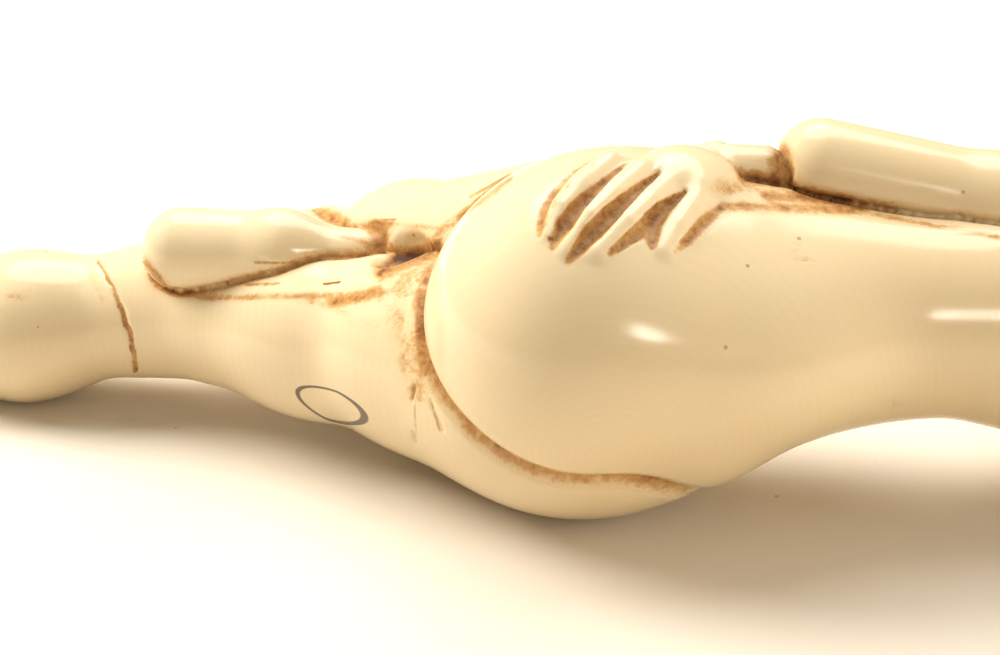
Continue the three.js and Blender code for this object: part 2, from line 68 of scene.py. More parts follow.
# Looking for the skin along the line of sight: where it starts, how often and how far it steps, and
# how near is near enough
SIGHT_START = 320
SIGHT_STEPS = 90
SIGHT_SHARE = 0.85
SKIN_REACHED = 0.02

# Colours of the ivory from clean to darkest stain, of the ink, and of the ground near and far: the near
# ground is painted darker as painted shade, the far ground is the lit floor
PALE = (0.80, 0.66, 0.43, 1)
HONEY = (0.76, 0.58, 0.33, 1)
GOLD = (0.66, 0.42, 0.17, 1)
AMBER = (0.50, 0.25, 0.07, 1)
RUST = (0.24, 0.085, 0.02, 1)
UMBER = (0.055, 0.02, 0.01, 1)
INK = (0.045, 0.03, 0.022, 1)
GROUND_SHADED_FRONT = (0.72, 0.65, 0.55, 1)
GROUND_SHADED_FRONT_LIGHTER = (0.77, 0.70, 0.60, 1)
GROUND_LIT_BACK = (0.86, 0.83, 0.77, 1)
CRUMB = (0.30, 0.17, 0.09, 1)
IVORY_IOR = 1.54

# The lamps: name, place, size, power, colour, and whether the polish mirrors them
LAMPS = [
    ("window", (0.0, 0.22, 0.48), 0.5, 2.45, (1.0, 0.98, 0.94), True),
    ("left_box", (-0.38, 0.16, 0.30), 0.3, 3.9, (1.0, 0.96, 0.88), False),
    ("right_box", (0.44, -0.04, 0.10), 0.3, 1.7, (1.0, 0.94, 0.84), False),
    ("front_box", (0.19, -0.486, 0.22), 0.09, 0.36, (1.0, 0.93, 0.80), True),
]
LAMP_AIM = (0, 0, 0.01)
ROOM_COLOUR = (1.0, 0.88, 0.70, 1)
ROOM_STRENGTH = 0.29


# Small helpers


def ramp(low, high, value):
    """From nothing at low to one at high, with soft ends; low may be the larger."""
    t = np.clip((value - low) / (high - low), 0, 1)
    return t * t * (3 - 2 * t)


def length(q):
    return np.sqrt((q * q).sum(0))


def unit(v):
    v = np.asarray(v, float)
    return v / np.linalg.norm(v)


# Rounded forms: each gives the distance of points from the form, negative inside


def ball(center, radius):
    center = np.array(center, float)[:, None]
    return lambda p: length(p - center) - radius


def egg(center, radii, axes=None):
    """A ball stretched to three radii, along the given directions or the plain ones."""
    center = np.array(center, float)[:, None]
    radii = np.array(radii, float)[:, None]
    axes = None if axes is None else np.array(axes, float)

    def distance(p):
        q = p - center
        if axes is not None:
            q = axes @ q
        q = q / radii
        near = length(q)
        slope = np.maximum(length(q / radii), 1e-9)
        return near * (near - 1) / slope

    return distance


def limb(start, end, radius_start, radius_end):
    """A straight limb with round ends that tapers from one radius to the other."""
    start = np.array(start, float)
    axis = np.array(end, float) - start
    reach = np.linalg.norm(axis)
    axis = axis / reach
    lean = (radius_start - radius_end) / reach
    rise = math.sqrt(1 - lean * lean)

    def distance(p):
        q = p - start[:, None]
        along = axis @ q
        across = np.sqrt(np.maximum((q * q).sum(0) - along * along, 0))
        place = along * rise - across * lean
        side = across * rise + along * lean - radius_start
        first = np.sqrt(across ** 2 + along ** 2) - radius_start
        last = np.sqrt(across ** 2 + (along - reach) ** 2) - radius_end
        return np.where(place < 0, first, np.where(place > rise * reach, last, side))

    return distance


def soft(a, b, reach):
    """Two forms run together, with a fillet over the reach."""
    h = np.maximum(reach - np.abs(a - b), 0) / reach
    return np.minimum(a, b) - h * h * reach / 4


def blend(reach, forms):
    def distance(p):
        d = forms[0](p)
        for form in forms[1:]:
            d = soft(d, form(p), reach)
        return d

    return distance


def chain(points, radii, reach=10):
    """Limbs end to end through the points, with a radius at each."""
    return blend(reach, [
        limb(points[i], points[i + 1], radii[i], radii[i + 1]) for i in range(len(points) - 1)
    ])


def pressed(a, b, width, depth):
    """Two forms pressed together, with a line cut along their seam."""
    return np.minimum(a, b) + depth * np.maximum(0, 1 - np.abs(a - b) / width)


def seam(a, b, width):
    """One in the seam of two forms, falling to nothing away from it and away from their skin."""
    above = np.maximum(np.minimum(a, b), 0)
    return np.exp(-((a - b) / width) ** 2 - (above / width) ** 2)


def cut(points, width, depth):
    """A soft groove along a line of points."""
    line = chain(points, [0.01] * len(points), 0.01)
    return lambda p: depth * np.maximum(0, 1 - (line(p) / width) ** 2) ** 2


def seen_on(form, x, rise):
    """The point of a form that is seen at a place along the length and a rise up the tilted view."""
    point = np.array([x, 0, 0]) + UP * rise + TOWARD * SIGHT_START
    for _ in range(SIGHT_STEPS):
        d = form(point[:, None])[0]
        if d < SKIN_REACHED:
            break
        point = point - TOWARD * d * SIGHT_SHARE
    return point


def outward(form, point):
    """The direction that the skin faces there."""
    steps = np.repeat(point[:, None], 6, axis=1)
    for i in range(3):
        steps[i, 2 * i] += 0.5
        steps[i, 2 * i + 1] -= 0.5
    d = form(steps)
    return unit(d[0::2] - d[1::2])


def lifted(form, x, rise, height):
    """The point seen there, raised off the skin by a height."""
    point = seen_on(form, x, rise)
    return point + outward(form, point) * height


# The parts of the body


def torso():
    buttock = blend(14, [ball([516, -2, 121.5], 92.5), ball([556, 4, 96], 74)])
    hip_side = egg([600, -6, 120], [82, 74, 54])
    hip = egg([550, 38, 123], [90, 66, 83])
    belly = egg([628, 46, 114], [88, 48, 62])
    waist = limb([610, 12, 122], [735, 14, 121], 63, 60)
    chest = egg([824, 16, 106], [84, 60, 76])
    shoulders = limb([832, 20, 42], [834, 22, 152], 33, 29)
    neck = limb([846, 20, 98], [902, 26, 104], 42, 24)
    breasts = [egg([790, 60, 132], [36, 30, 30]), egg([788, 58, 80], [36, 30, 30])]
    round_back = blend(50, [buttock, hip_side])
    return blend(16, [blend(38, [round_back, hip, belly, waist, chest, shoulders]), neck, *breasts])


def right_leg():
    seat = egg([514, 10, 80], [102, 82, 80])
    thigh = chain([[500, 22, 82], [432, 50, 78], [354, 96, 70], [250, 148, 62]], [62, 58, 47, 38], 26)
    calf = chain([[246, 150, 61], [165, 152, 49], [84, 150, 25]], [37, 43, 17], 26)
    foot = chain([[96, 156, 18], [72, 148, 18], [13, 138, 12]], [18, 17, 13], 16)
    return blend(22, [blend(26, [seat, thigh]), calf, foot])


LEFT_KNEE = [318, 215, 62]
LEFT_ANKLE = [404, 102, 126]


def left_thigh():
    return chain([[520, 40, 150], [415, 131, 107], LEFT_KNEE], [57, 43, 32], 20)


def left_shin():
    return chain([LEFT_KNEE, [343, 166, 92], LEFT_ANKLE], [29, 26, 13], 14)


def left_foot():
    sole = chain([[272, 120, 116], [334, 107, 121], [377, 101, 119]], [26, 23, 15], 12)
    return blend(8, [sole, limb([377, 101, 119], LEFT_ANKLE, 15, 13)])


def left_arm():
    return chain([[651, 45, 199], [752, 37, 180], [836, 24, 156]], [28, 27, 30], 12)


def wrist():
    return limb([598, 37, 199], [648, 44, 195], 16, 15)


def right_arm():
    upper = limb([842, 22, 36], [902, 138, 25], 31, 24)
    lower = limb([902, 138, 25], [952, 66, 38], 24, 15)
    return blend(10, [upper, lower, egg([950, 30, 44], [24, 42, 15])])


# The left hand is a raised pad over the hip, parted into fingers by cut hollows. Each line is given in
# length and rise, with a radius at every point.
FINGERS = [
    ([(528, 200), (511, 186), (500, 173), (493, 158)], [8, 7, 6.5, 6]),
    ([(545, 195), (529, 181), (516, 168), (503, 150)], [9, 8, 7.5, 7]),
    ([(563, 190), (549, 177), (536, 165), (519, 148)], [10, 9.5, 9, 8]),
    ([(579, 184), (571, 173), (564, 163), (556, 149)], [11, 10, 9, 7.5]),
]
FINGER_TOPS = [5.5, 5, 4.5, 2]
HOLLOWS = [
    ([(537, 196), (521.5, 183), (508.5, 170.5), (502.5, 162), (495, 149)], [0.9, 3.2, 5, 4.6, 1.6]),
    ([(557.5, 192.5), (541, 180.5), (527, 168), (516, 157), (503, 141)], [0.9, 3.4, 5.5, 5.3, 1.6]),
    ([(568, 180), (555, 171), (549, 164), (548, 150.5)], [1.4, 4.5, 5.8, 2.2]),
    ([(549, 164), (526, 146)], [5.2, 1.5]),
]
SIDE_HOLLOWS = [
    ([(523, 201), (508, 193), (497.5, 181), (490, 168), (488, 156)], [1.4, 2.2, 2.8, 2.8, 1.6]),
    ([(588, 172), (577, 163.5), (561, 147)], [2.6, 3.2, 1.5]),
]
HOLLOW_LIFT = 2.4
PALM = (576, 196)
PALM_LIFT = -3
PALM_RADII = [29, 25, 13]


def left_hand(body):
    back = lifted(body, *PALM, PALM_LIFT)
    normal = outward(body, back)
    along = unit(np.cross(normal, [0, 0.35, 1]))
    palm = egg(back, PALM_RADII, [along, np.cross(normal, along), normal])
    fingers = []
    for line, radii in FINGERS:
        points = [
            lifted(body, *place, top - radius) for place, top, radius in zip(line, FINGER_TOPS, radii)
        ]
        fingers.append(chain(points, radii, 0.5))
    thumb = chain([[592, 62, 195], [570, 82, 182], [548, 93, 166]], [13, 11, 8], 4)
    return blend(6, [palm, *fingers, thumb])


def cut_hollows(body, lines):
    return blend(0.5, [
        chain([lifted(body, *place, HOLLOW_LIFT) for place in line], radii, 0.5) for line, radii in lines
    ])


# The head, with its own directions: towards the ear, the face and the crown
HEAD = np.array([934, 34, 106.0])
CROWN = unit([0.97, -0.1, 0.2])
FACE = unit(np.array([0.05, 0.9, 0.42]) - CROWN * np.dot([0.05, 0.9, 0.42], CROWN))
EAR = np.cross(FACE, CROWN)
HEAD_AXES = [EAR, FACE, CROWN]


def on_head(ear, face, crown):
    return HEAD + EAR * ear + FACE * face + CROWN * crown


def head_egg(place, radii):
    return egg(on_head(*place), radii, HEAD_AXES)


def face():
    skull = head_egg([0, -8, 10], [43, 50, 48])
    front = head_egg([0, 8, -12], [35, 38, 48])
    chin = head_egg([0, 34, -50], [12, 11, 10])
    cheeks = [head_egg([side * 17, 30, -18], [14, 13, 16]) for side in (-1, 1)]
    nose = limb(on_head(0, 42, 4), on_head(0, 51, -21), 4, 6.5)
    brow = head_egg([0, 37, 13], [27, 10, 7])
    sockets = [head_egg([side * 15, 52, 2], [10, 9, 7]) for side in (-1, 1)]
    lids = [head_egg([side * 15, 40, 1], [8.5, 7, 5.5]) for side in (-1, 1)]
    lips = [head_egg([0, 44, -34.5], [10, 5.5, 3]), head_egg([0, 43, -40], [8.5, 5.5, 3.2])]
    nosed = blend(5, [blend(10, [skull, front, chin, *cheeks, brow]), nose])

    def distance(p):
        d = nosed(p)
        for socket in sockets:
            d = -soft(-d, socket(p), 4)
        for lid in lids:
            d = soft(d, lid(p), 1.2)
        return soft(d, soft(lips[0](p), lips[1](p), 1), 2.5)

    return distance


LOCKS = 26
BUN = on_head(0, -56, 2)
BUN_RADIUS = 25


def hair():
    cap = head_egg([0, -9, 12], [47.5, 54, 52])
    bun = ball(BUN, BUN_RADIUS)

    def distance(p, dark=None):
        q = p - HEAD[:, None]
        ear = EAR @ q
        forward = FACE @ q
        crown = CROWN @ q
        # The cap ends behind this line, which runs from over the brow down behind the ear
        hairline = forward - 22 + 0.35 * np.abs(ear) - 0.45 * (crown - 18)
        angle = np.arctan2(crown - 2, ear)
        lock = np.sin(angle * LOCKS + 0.04 * forward)
        strand = np.sin(angle * LOCKS * 4 + 0.12 * forward)
        combed = (1.5 * lock + 0.35 * strand) * ramp(-62, -30, forward)
        cap_shape = np.maximum(cap(p) + 0.7 * combed, hairline)
        coil = angle * 3 + 0.35 * np.sqrt(ear ** 2 + (crown - 2) ** 2)
        bun_shape = bun(p) + 0.9 * np.sin(coil) + 0.25 * np.sin(coil * 4)
        if dark is not None:
            grooves = np.where(cap_shape < bun_shape, combed / 1.85, np.sin(coil))
            near = np.exp(-np.minimum(cap_shape, bun_shape) ** 2)
            dark.append(0.45 * np.clip(grooves, 0, 1) ** 2 * near)
        return pressed(cap_shape, bun_shape, 3, 1.5)

    return distance


# Fine lines cut into the skin, each through points given in length and rise
KNEE_CREASE = [[217, 145], [226.5, 133], [234, 118], [238, 100], [238, 82]]
SEAT_FOLDS = [[[419, 74], [418, 42]], [[428, 66], [435, 50]]]
SOLE_LINES = [[[322, 148], [356, 148]], [[326, 140], [362, 137]]]
HEEL_POCKET = (408, 152)


# The whole carving


class Carving:
    """The distance of points from the ivory's skin, and how dark the stain lies on it."""

    def __init__(self):
        self.body = torso()
        self.leg = right_leg()
        self.thigh = left_thigh()
        self.shin = left_shin()
        self.foot = left_foot()
        self.arm = left_arm()
        self.wrist = wrist()
        self.right_arm = right_arm()
        self.face = face()
        self.hair = hair()
        self.hand = left_hand(self.body)
        self.hollows = cut_hollows(self.body, HOLLOWS)
        self.side_hollows = cut_hollows(self.body, SIDE_HOLLOWS)
        self.cuts = [self.line_cut(self.leg, KNEE_CREASE, 2.6, 1.4)]
        self.cuts += [self.line_cut(self.leg, line, 2.4, 1.2) for line in SEAT_FOLDS]
        self.cuts += [self.line_cut(self.foot, line, 2.2, 1.0) for line in SOLE_LINES]
        self.pocket = egg(seen_on(self.legs, *HEEL_POCKET), [19, 18, 13])

    @staticmethod
    def line_cut(form, line, width, depth):
        return cut([seen_on(form, x, rise) for x, rise in line], width, depth)

    def legs(self, p, dark=None):
        leg, thigh, shin, foot = self.leg(p), self.thigh(p), self.shin(p), self.foot(p)
        d = pressed(leg, thigh, 5, 3)
        bent = length(p - np.array(LEFT_KNEE)[:, None])
        below_knee = ramp(34, 48, bent)
        low = pressed(d, shin, 4, 2.5 * below_knee)
        if dark is not None:
            dark.append(0.8 * seam(leg, thigh, 6))
            dark.append(seam(d, shin, 5) * below_knee)
            dark.append(0.9 * seam(low, foot, 4.5))
        return pressed(low, foot, 4, 2.5)

    def cut_legs(self, p, dark):
        """The legs with the hollow by the heel and the fine lines cut in."""
        legs = self.legs(p, dark)
        legs = -soft(-legs, self.pocket(p), 5)
        for line in self.cuts:
            depth = line(p)
            legs = legs + depth
            if dark is not None:
                dark.append(0.35 * np.clip(depth, 0, 1))
        return legs

    @staticmethod
    def seated(p, trunk, legs, dark):
        """The trunk on the legs: a sharp seam at the seat that closes to a soft blend at the belly."""
        closed = ramp(545, 625, p[0])
        if dark is not None:
            front = ramp(40, 90, p[1])
            dark.append(0.95 * seam(trunk, legs, 3.4) * (1 - closed) * (1 - 0.4 * front))
        parted = pressed(trunk, legs, 4.5, 3.5)
        return parted + (soft(trunk, legs, 34) - parted) * closed

    def with_left_arm(self, p, d, dark):
        """The arm pressed on the side; its seam fades at the shoulder and is stained most by the wrist."""
        before_shoulder = ramp(850, 800, p[0])
        stained = 0.5 * before_shoulder + 0.5 * ramp(710, 680, p[0])
        for form, depth in ((self.wrist, 3), (self.arm, 4 * before_shoulder)):
            other = form(p)
            if dark is not None:
                dark.append(seam(d, other, 5) * stained)
            d = pressed(d, other, 5, depth)
        return d

    def with_hand(self, p, d, trunk, dark):
        """The hand's pad, with the hollows between the fingers cut down to the stained hip."""
        d = soft(d, self.hand(p), 4)
        for form, strength in ((self.hollows, 1.0), (self.side_hollows, 0.6)):
            hollow = form(p)
            if dark is not None:
                away = (np.maximum(hollow, 0) / 1.2) ** 2 + (np.maximum(trunk - 1, 0) / 1.5) ** 2
                dark.append(strength * np.exp(-away))
            d = -soft(-d, hollow, 1.0)
        return d

    def with_right_arm(self, p, d, dark):
        """The arm under the head, with a seam only beyond the shoulder."""
        other = self.right_arm(p)
        past_shoulder = ramp(845, 880, p[0])
        if dark is not None:
            dark.append(0.7 * seam(d, other, 4) * past_shoulder)
        return pressed(d, other, 4, 2 * past_shoulder)

    def with_head(self, p, d, dark):
        face, hair = self.face(p), self.hair(p, dark)
        head = pressed(face, hair, 2, 1)
        if dark is not None:
            dark.append(0.6 * seam(face, hair, 2.5))
            dark.append(0.5 * seam(d, head, 3))
        return soft(d, head, 3)

    def __call__(self, p, dark=None):
        trunk = self.body(p)
        legs = self.cut_legs(p, dark)
        d = self.seated(p, trunk, legs, dark)
        d = self.with_left_arm(p, d, dark)
        d = self.with_hand(p, d, trunk, dark)
        d = self.with_right_arm(p, d, dark)
        d = self.with_head(p, d, dark)
        return np.maximum(d, FLAT_UNDERSIDE - p[2])

    def stain(self, p):
        layers = []
        self(p, layers)
        return np.max(layers, axis=0)

    def slope(self, p):
        corners = np.array([[1, -1, -1], [-1, -1, 1], [-1, 1, -1], [1, 1, 1]], float)
        total = np.zeros_like(p)
        for corner in corners:
            total += corner[:, None] * self(p + corner[:, None] * SLOPE_STEP)
        return total / np.maximum(length(total), 1e-9)


carving = Carving()


# Carving the mesh


def in_batches(function, points):
    """Work through the points in batches, several at a time."""
    starts = range(0, points.shape[1], BATCH)
    with ThreadPoolExecutor(WORKERS) as pool:
        parts = list(pool.map(lambda i: function(points[:, i:i + BATCH]), starts))
    return np.concatenate(parts, axis=-1)


def to_thousandths(mesh):
    points = np.empty(len(mesh.vertices) * 3)
    mesh.vertices.foreach_get("co", points)
    return points.reshape(-1, 3).T / THOUSANDTH + CARVING_MIDDLE[:, None]


def from_thousandths(mesh, points):
    metres = (points - CARVING_MIDDLE[:, None]) * THOUSANDTH
    mesh.vertices.foreach_set("co", np.ascontiguousarray(metres.T).ravel())
    mesh.update()


def pare_down(mesh, passes, most=4.0):
    """Move every point of a mesh onto the carving's skin."""
    def step(points):
        d = np.clip(carving(points), -most, most)
        return points - carving.slope(points) * d * PASS_SHARE

    points = to_thousandths(mesh)
    for _ in range(passes):
        points = in_batches(step, points)
    points[2] = np.maximum(points[2], FLAT_UNDERSIDE)
    from_thousandths(mesh, points)


def apply_modifier(piece, kind, **settings):
    bpy.ops.object.select_all(action="DESELECT")
    piece.select_set(True)
    bpy.context.view_layer.objects.active = piece
    modifier = piece.modifiers.new(kind.title(), kind)
    for name, value in settings.items():
        setattr(modifier, name, value)
    bpy.ops.object.modifier_apply(modifier=modifier.name)


def rough_block(node):
    """Start from the solid of the model, closed up and filled with even facets."""
    mesh = node.data.copy()
    mesh.materials.clear()
    piece = bpy.data.objects.new("ivory_carving", mesh)
    bpy.context.scene.collection.objects.link(piece)
    bpy.ops.object.select_all(action="DESELECT")
    piece.select_set(True)
    bpy.context.view_layer.objects.active = piece
    bpy.ops.object.mode_set(mode="EDIT")
    bpy.ops.mesh.select_all(action="SELECT")
    bpy.ops.mesh.remove_doubles(threshold=1e-6)
    bpy.ops.object.mode_set(mode="OBJECT")
    apply_modifier(piece, "REMESH", mode="VOXEL", voxel_size=VOXEL, adaptivity=0)
    return piece


# Old brown stain on the back, and painted shade beside the first finger, as streaks in the usual view of
# it: two ends, half width, strength
STAIN_AND_SHADE_STREAKS = [
    # The first two streaks, along the left side of the first finger, are painted shade beside the finger
    # over its brown stain
    ((592, 166), (556, 196), 7, 0.35),
    ((556, 196), (544, 226), 7, 0.4),
    ((547, 238), (550, 239), 2.2, 0.9),
    ((712, 216), (690, 244), 8, 0.4),
    ((722, 188), (770, 182), 12, 0.55),
    ((722, 206), (862, 210), 6, 0.9),
    ((776, 158), (772, 200), 7, 0.6),
    ((765, 195), (845, 202), 7, 1.0),
    ((860, 212), (1000, 238), 3, 0.7),
    ((146, 262), (165, 287), 5, 0.7),
    ((165, 287), (205, 298), 5, 0.7),
    ((205, 298), (330, 296), 4, 0.7),
    ((333, 302), (378, 292), 8, 1.0),
    ((300, 298), (345, 312), 5, 0.5),
    ((380, 274), (398, 258), 5, 1.3),
    ((382, 272), (430, 250), 11, 1.0),
    ((400, 290), (425, 252), 14, 0.6),
    ((396, 310), (416, 390), 17, 0.46),
    ((418, 290), (420, 400), 7, 0.65),
    ((350, 318), (384, 330), 12, 0.25),
    ((510, 178), (440, 232), 5, 0.75),
    ((440, 232), (424, 282), 5, 0.8),
    ((340, 236), (376, 246), 4, 0.5),
    ((373, 222), (436, 228), 3.5, 0.55),
    ((797, 247), (803, 265), 5, 0.5),
    ((892, 404), (896, 406), 4, 0.5),
    ((8, 296), (24, 298), 4, 0.5),
    ((92, 276), (104, 300), 5, 0.35),
]


def seen_place(points):
    """Where points fall in the usual view of the back, counted from its top left corner."""
    metres = (points - CARVING_MIDDLE[:, None]) * THOUSANDTH
    offset = metres - np.array(LOOK_AT)[:, None]
    depth = CAMERA_DISTANCE - TOWARD @ offset
    wide, high = VIEW_SIZE
    focal = wide / 2 / math.tan(CAMERA_ANGLE / 2)
    return np.array([
        wide / 2 + focal * offset[0] / depth,
        high / 2 - focal * (UP @ offset) / depth,
    ])


def streak(place, start, end, width):
    start, end = np.array(start, float)[:, None], np.array(end, float)[:, None]
    axis = end - start
    share = np.clip(((place - start) * axis).sum(0) / (axis * axis).sum(), 0, 1)
    return np.exp(-(length(place - start - axis * share) / width) ** 2)


def lay_stain(piece):
    points = to_thousandths(piece.data)
    place = seen_place(points)
    # Full where the skin faces the usual view, nothing where it is turned away
    facing = ramp(0.0, 0.25, TOWARD @ in_batches(carving.slope, points))
    # Streaks of stain, with the painted shade beside the first finger, kept in the attribute named stain
    stain_and_shade_spots = np.max([
        strength * streak(place, start, end, width) for start, end, width, strength in STAIN_AND_SHADE_STREAKS
    ], axis=0)
    # The last two are the point's place in the usual view, for the fine lines and the ring
    for name, values in (
        ("seam", in_batches(carving.stain, points)),
        ("stain", stain_and_shade_spots * facing),
        ("back", facing),
        ("across", place[0]),
        ("down", place[1]),
    ):
        layer = piece.data.attributes.new(name, "FLOAT", "POINT")
        layer.data.foreach_set("value", values.astype(np.float32))


# Materials


class Finish:
    """A material under construction, with short calls for its nodes."""

    def __init__(self, name):
        self.material = bpy.data.materials.new(name)
        self.material.use_nodes = True
        self.nodes = self.material.node_tree.nodes
        self.links = self.material.node_tree.links
        self.shader = self.nodes["Principled BSDF"]
        self.place = self.add("ShaderNodeTexCoord").outputs["Object"]

    def add(self, kind, **settings):
        node = self.nodes.new(kind)
        for name, value in settings.items():
            setattr(node, name, value)
        return node

    def feed(self, socket, value):
        if isinstance(value, bpy.types.NodeSocket):
            self.links.new(value, socket)
        else:
            socket.default_value = value

    def attribute(self, name):
        return self.add("ShaderNodeAttribute", attribute_name=name).outputs["Fac"]

    def mapped(self, location=(0, 0, 0), rotation=(0, 0, 0), scale=(1, 1, 1)):
        node = self.add("ShaderNodeMapping")
        self.feed(node.inputs["Vector"], self.place)
        node.inputs["Location"].default_value = location
        node.inputs["Rotation"].default_value = rotation
        node.inputs["Scale"].default_value = scale
        return node.outputs["Vector"]

    def noise(self, scale, detail=3, roughness=0.55, vector=None, distortion=0.0):
        node = self.add("ShaderNodeTexNoise")
        self.feed(node.inputs["Vector"], vector or self.place)
        node.inputs["Scale"].default_value = scale
        node.inputs["Detail"].default_value = detail
        node.inputs["Roughness"].default_value = roughness
        node.inputs["Distortion"].default_value = distortion
        return node.outputs["Fac"]

    def math(self, operation, a, b=0.0, c=0.0, clamp=False):
        node = self.add("ShaderNodeMath", operation=operation, use_clamp=clamp)
        for socket, value in zip(node.inputs, (a, b, c)):
            self.feed(socket, value)
        return node.outputs["Value"]

    def between(self, value, low, high, out_low=0.0, out_high=1.0):
        node = self.add("ShaderNodeMapRange", interpolation_type="SMOOTHSTEP")
        for socket, number in zip(node.inputs, (value, low, high, out_low, out_high)):
            self.feed(socket, number)
        return node.outputs["Result"]

    def mix(self, share, a, b):
        node = self.add("ShaderNodeMix", data_type="RGBA")
        colours = [s for s in node.inputs if s.type == "RGBA"]
        self.feed(node.inputs["Factor"], share)
        self.feed(colours[0], a)
        self.feed(colours[1], b)
        return next(s for s in node.outputs if s.type == "RGBA")

    def line(self, points, width, wobble):
        """A thin line through points of the usual view, as a mask."""
        shift = self.math("MULTIPLY", self.math("SUBTRACT", wobble, 0.5), 7.0)
        across = self.math("ADD", self.attribute("across"), shift)
        down = self.math("ADD", self.attribute("down"), self.math("MULTIPLY", shift, -0.6))
        nearest = 50.0
        for (x0, y0), (x1, y1) in zip(points, points[1:]):
            reach2 = (x1 - x0) ** 2 + (y1 - y0) ** 2
            along = self.math("MULTIPLY", self.math("SUBTRACT", across, x0), (x1 - x0) / reach2)
            along = self.math("MULTIPLY_ADD", self.math("SUBTRACT", down, y0), (y1 - y0) / reach2, along)
            along = self.math("ADD", along, 0.0, clamp=True)
            off_x = self.math("SUBTRACT", across, self.math("MULTIPLY_ADD", along, x1 - x0, x0))
            off_y = self.math("SUBTRACT", down, self.math("MULTIPLY_ADD", along, y1 - y0, y0))
            square = self.math("MULTIPLY_ADD", off_x, off_x, self.math("MULTIPLY", off_y, off_y))
            nearest = self.math("MINIMUM", nearest, self.math("SQRT", square))
        return self.between(nearest, width, width * 0.35)

    def bump(self, height, distance, strength=1.0, under=None):
        node = self.add("ShaderNodeBump")
        node.inputs["Distance"].default_value = distance
        node.inputs["Strength"].default_value = strength
        self.feed(node.inputs["Height"], height)
        if under is not None:
            self.feed(node.inputs["Normal"], under)
        return node.outputs["Normal"]


# Fine stained lines in the usual view: points, half width, strength
THIN_LINES = [
    ([(98, 262), (112, 285), (120, 305)], 3.2, 0.5),
    ([(120, 305), (131, 335), (136, 370)], 4.2, 0.62),
    ([(256, 262), (306, 263)], 2.2, 0.42),
    ([(246, 284), (278, 284)], 2.4, 0.45),
    ([(324, 284), (340, 282)], 1.6, 0.75),
    ([(415, 390), (416, 446)], 1.7, 0.36),
    ([(432, 402), (441, 430)], 1.7, 0.36),
    ([(470, 197), (508, 176)], 2.4, 0.5),
    ([(372, 221), (396, 219)], 2.0, 0.5),
]

# The ring in the usual view: middle, half length and half height, tilt
RING = ((331, 405), (36, 14.5), math.radians(23))


def inked_ring(f):
    """The small oval drawn in dark ink on the back of the thigh."""
    (x, y), (wide, high), tilt = RING
    off_x = f.math("SUBTRACT", f.attribute("across"), x)
    off_y = f.math("SUBTRACT", f.attribute("down"), y)
    cos, sin = math.cos(tilt), math.sin(tilt)
    u = f.math("MULTIPLY_ADD", off_x, cos / wide, f.math("MULTIPLY", off_y, sin / wide))
    v = f.math("MULTIPLY_ADD", off_y, cos / high, f.math("MULTIPLY", off_x, -sin / high))
    far = f.math("MULTIPLY_ADD", v, v, f.math("POWER", f.math("ABSOLUTE", u), 1.5))
    away = f.math("ABSOLUTE", f.math("SUBTRACT", far, 1.0))
    wide_at = f.math("MAXIMUM", f.math("MULTIPLY_ADD", u, 0.04, 0.15), 0.09)
    ink = f.math("DIVIDE", away, wide_at)
    return f.math("MULTIPLY", f.between(ink, 1.2, 0.7), f.attribute("back"))


def clean_ivory(f):
    """Soft clouds of a warmer tone, and the faint growth lines of the tusk."""
    clouds = f.between(f.noise(26, 2), 0.25, 0.8)
    colour = f.mix(f.math("MULTIPLY", clouds, 0.6), PALE, HONEY)
    grain = f.add("ShaderNodeTexWave", wave_type="RINGS", rings_direction="Y")
    f.feed(grain.inputs["Vector"], f.mapped(location=(-0.004, 0.0, -0.012), scale=(1, 0.4, 1)))
    grain.inputs["Scale"].default_value = 420
    grain.inputs["Distortion"].default_value = 2.5
    grain.inputs["Detail"].default_value = 2
    lines = f.math("MULTIPLY", f.between(grain.outputs["Fac"], 0.3, 0.9), f.noise(90, 2))
    return f.mix(f.math("MULTIPLY", lines, 0.08), colour, GOLD)


def stain_amount(f):
    """How dark the stain lies, with the painted shade beside the first finger, and how ragged its edge is
    there.
    """
    fine = f.noise(1700, 4, 0.7)
    coarse = f.noise(480, 4, 0.6, distortion=0.6)
    mottled = f.math("ADD", f.math("MULTIPLY", fine, 0.5), f.math("MULTIPLY", coarse, 0.5))
    in_seams = f.math("MULTIPLY", f.attribute("seam"), 0.66)
    amount = f.math("ADD", in_seams, f.math("MULTIPLY", f.attribute("stain"), 0.72))
    for points, width, strength in THIN_LINES:
        mark = f.math("MULTIPLY", f.line(points, width, coarse), strength)
        amount = f.math("MAXIMUM", amount, f.math("MULTIPLY", mark, f.attribute("back")))
    only_stained = f.math("MULTIPLY", amount, 5.0, clamp=True)
    ragged = f.math("MULTIPLY", f.math("SUBTRACT", mottled, 0.5), only_stained)
    return amount, ragged


def stained(f, colour, broken, halo):
    """Gold at the stain's edge, then amber, rust and umber where it lies thicker, also on the painted
    shade beside the first finger.
    """
    colour = f.mix(f.math("MULTIPLY", halo, 0.7), colour, GOLD)
    colour = f.mix(f.math("MULTIPLY", f.between(broken, 0.25, 0.6), 0.9), colour, AMBER)
    colour = f.mix(f.math("MULTIPLY", f.between(broken, 0.55, 0.85), 0.85), colour, RUST)
    return f.mix(f.math("MULTIPLY", f.between(broken, 0.82, 1.1), 0.85), colour, UMBER)


def specked(f, colour):
    specks = f.add("ShaderNodeTexVoronoi", feature="F1")
    f.feed(specks.inputs["Vector"], f.place)
    specks.inputs["Scale"].default_value = 170
    dot = f.math("LESS_THAN", specks.outputs["Distance"], 0.035)
    return f.mix(f.math("MULTIPLY", dot, 0.5), colour, RUST)


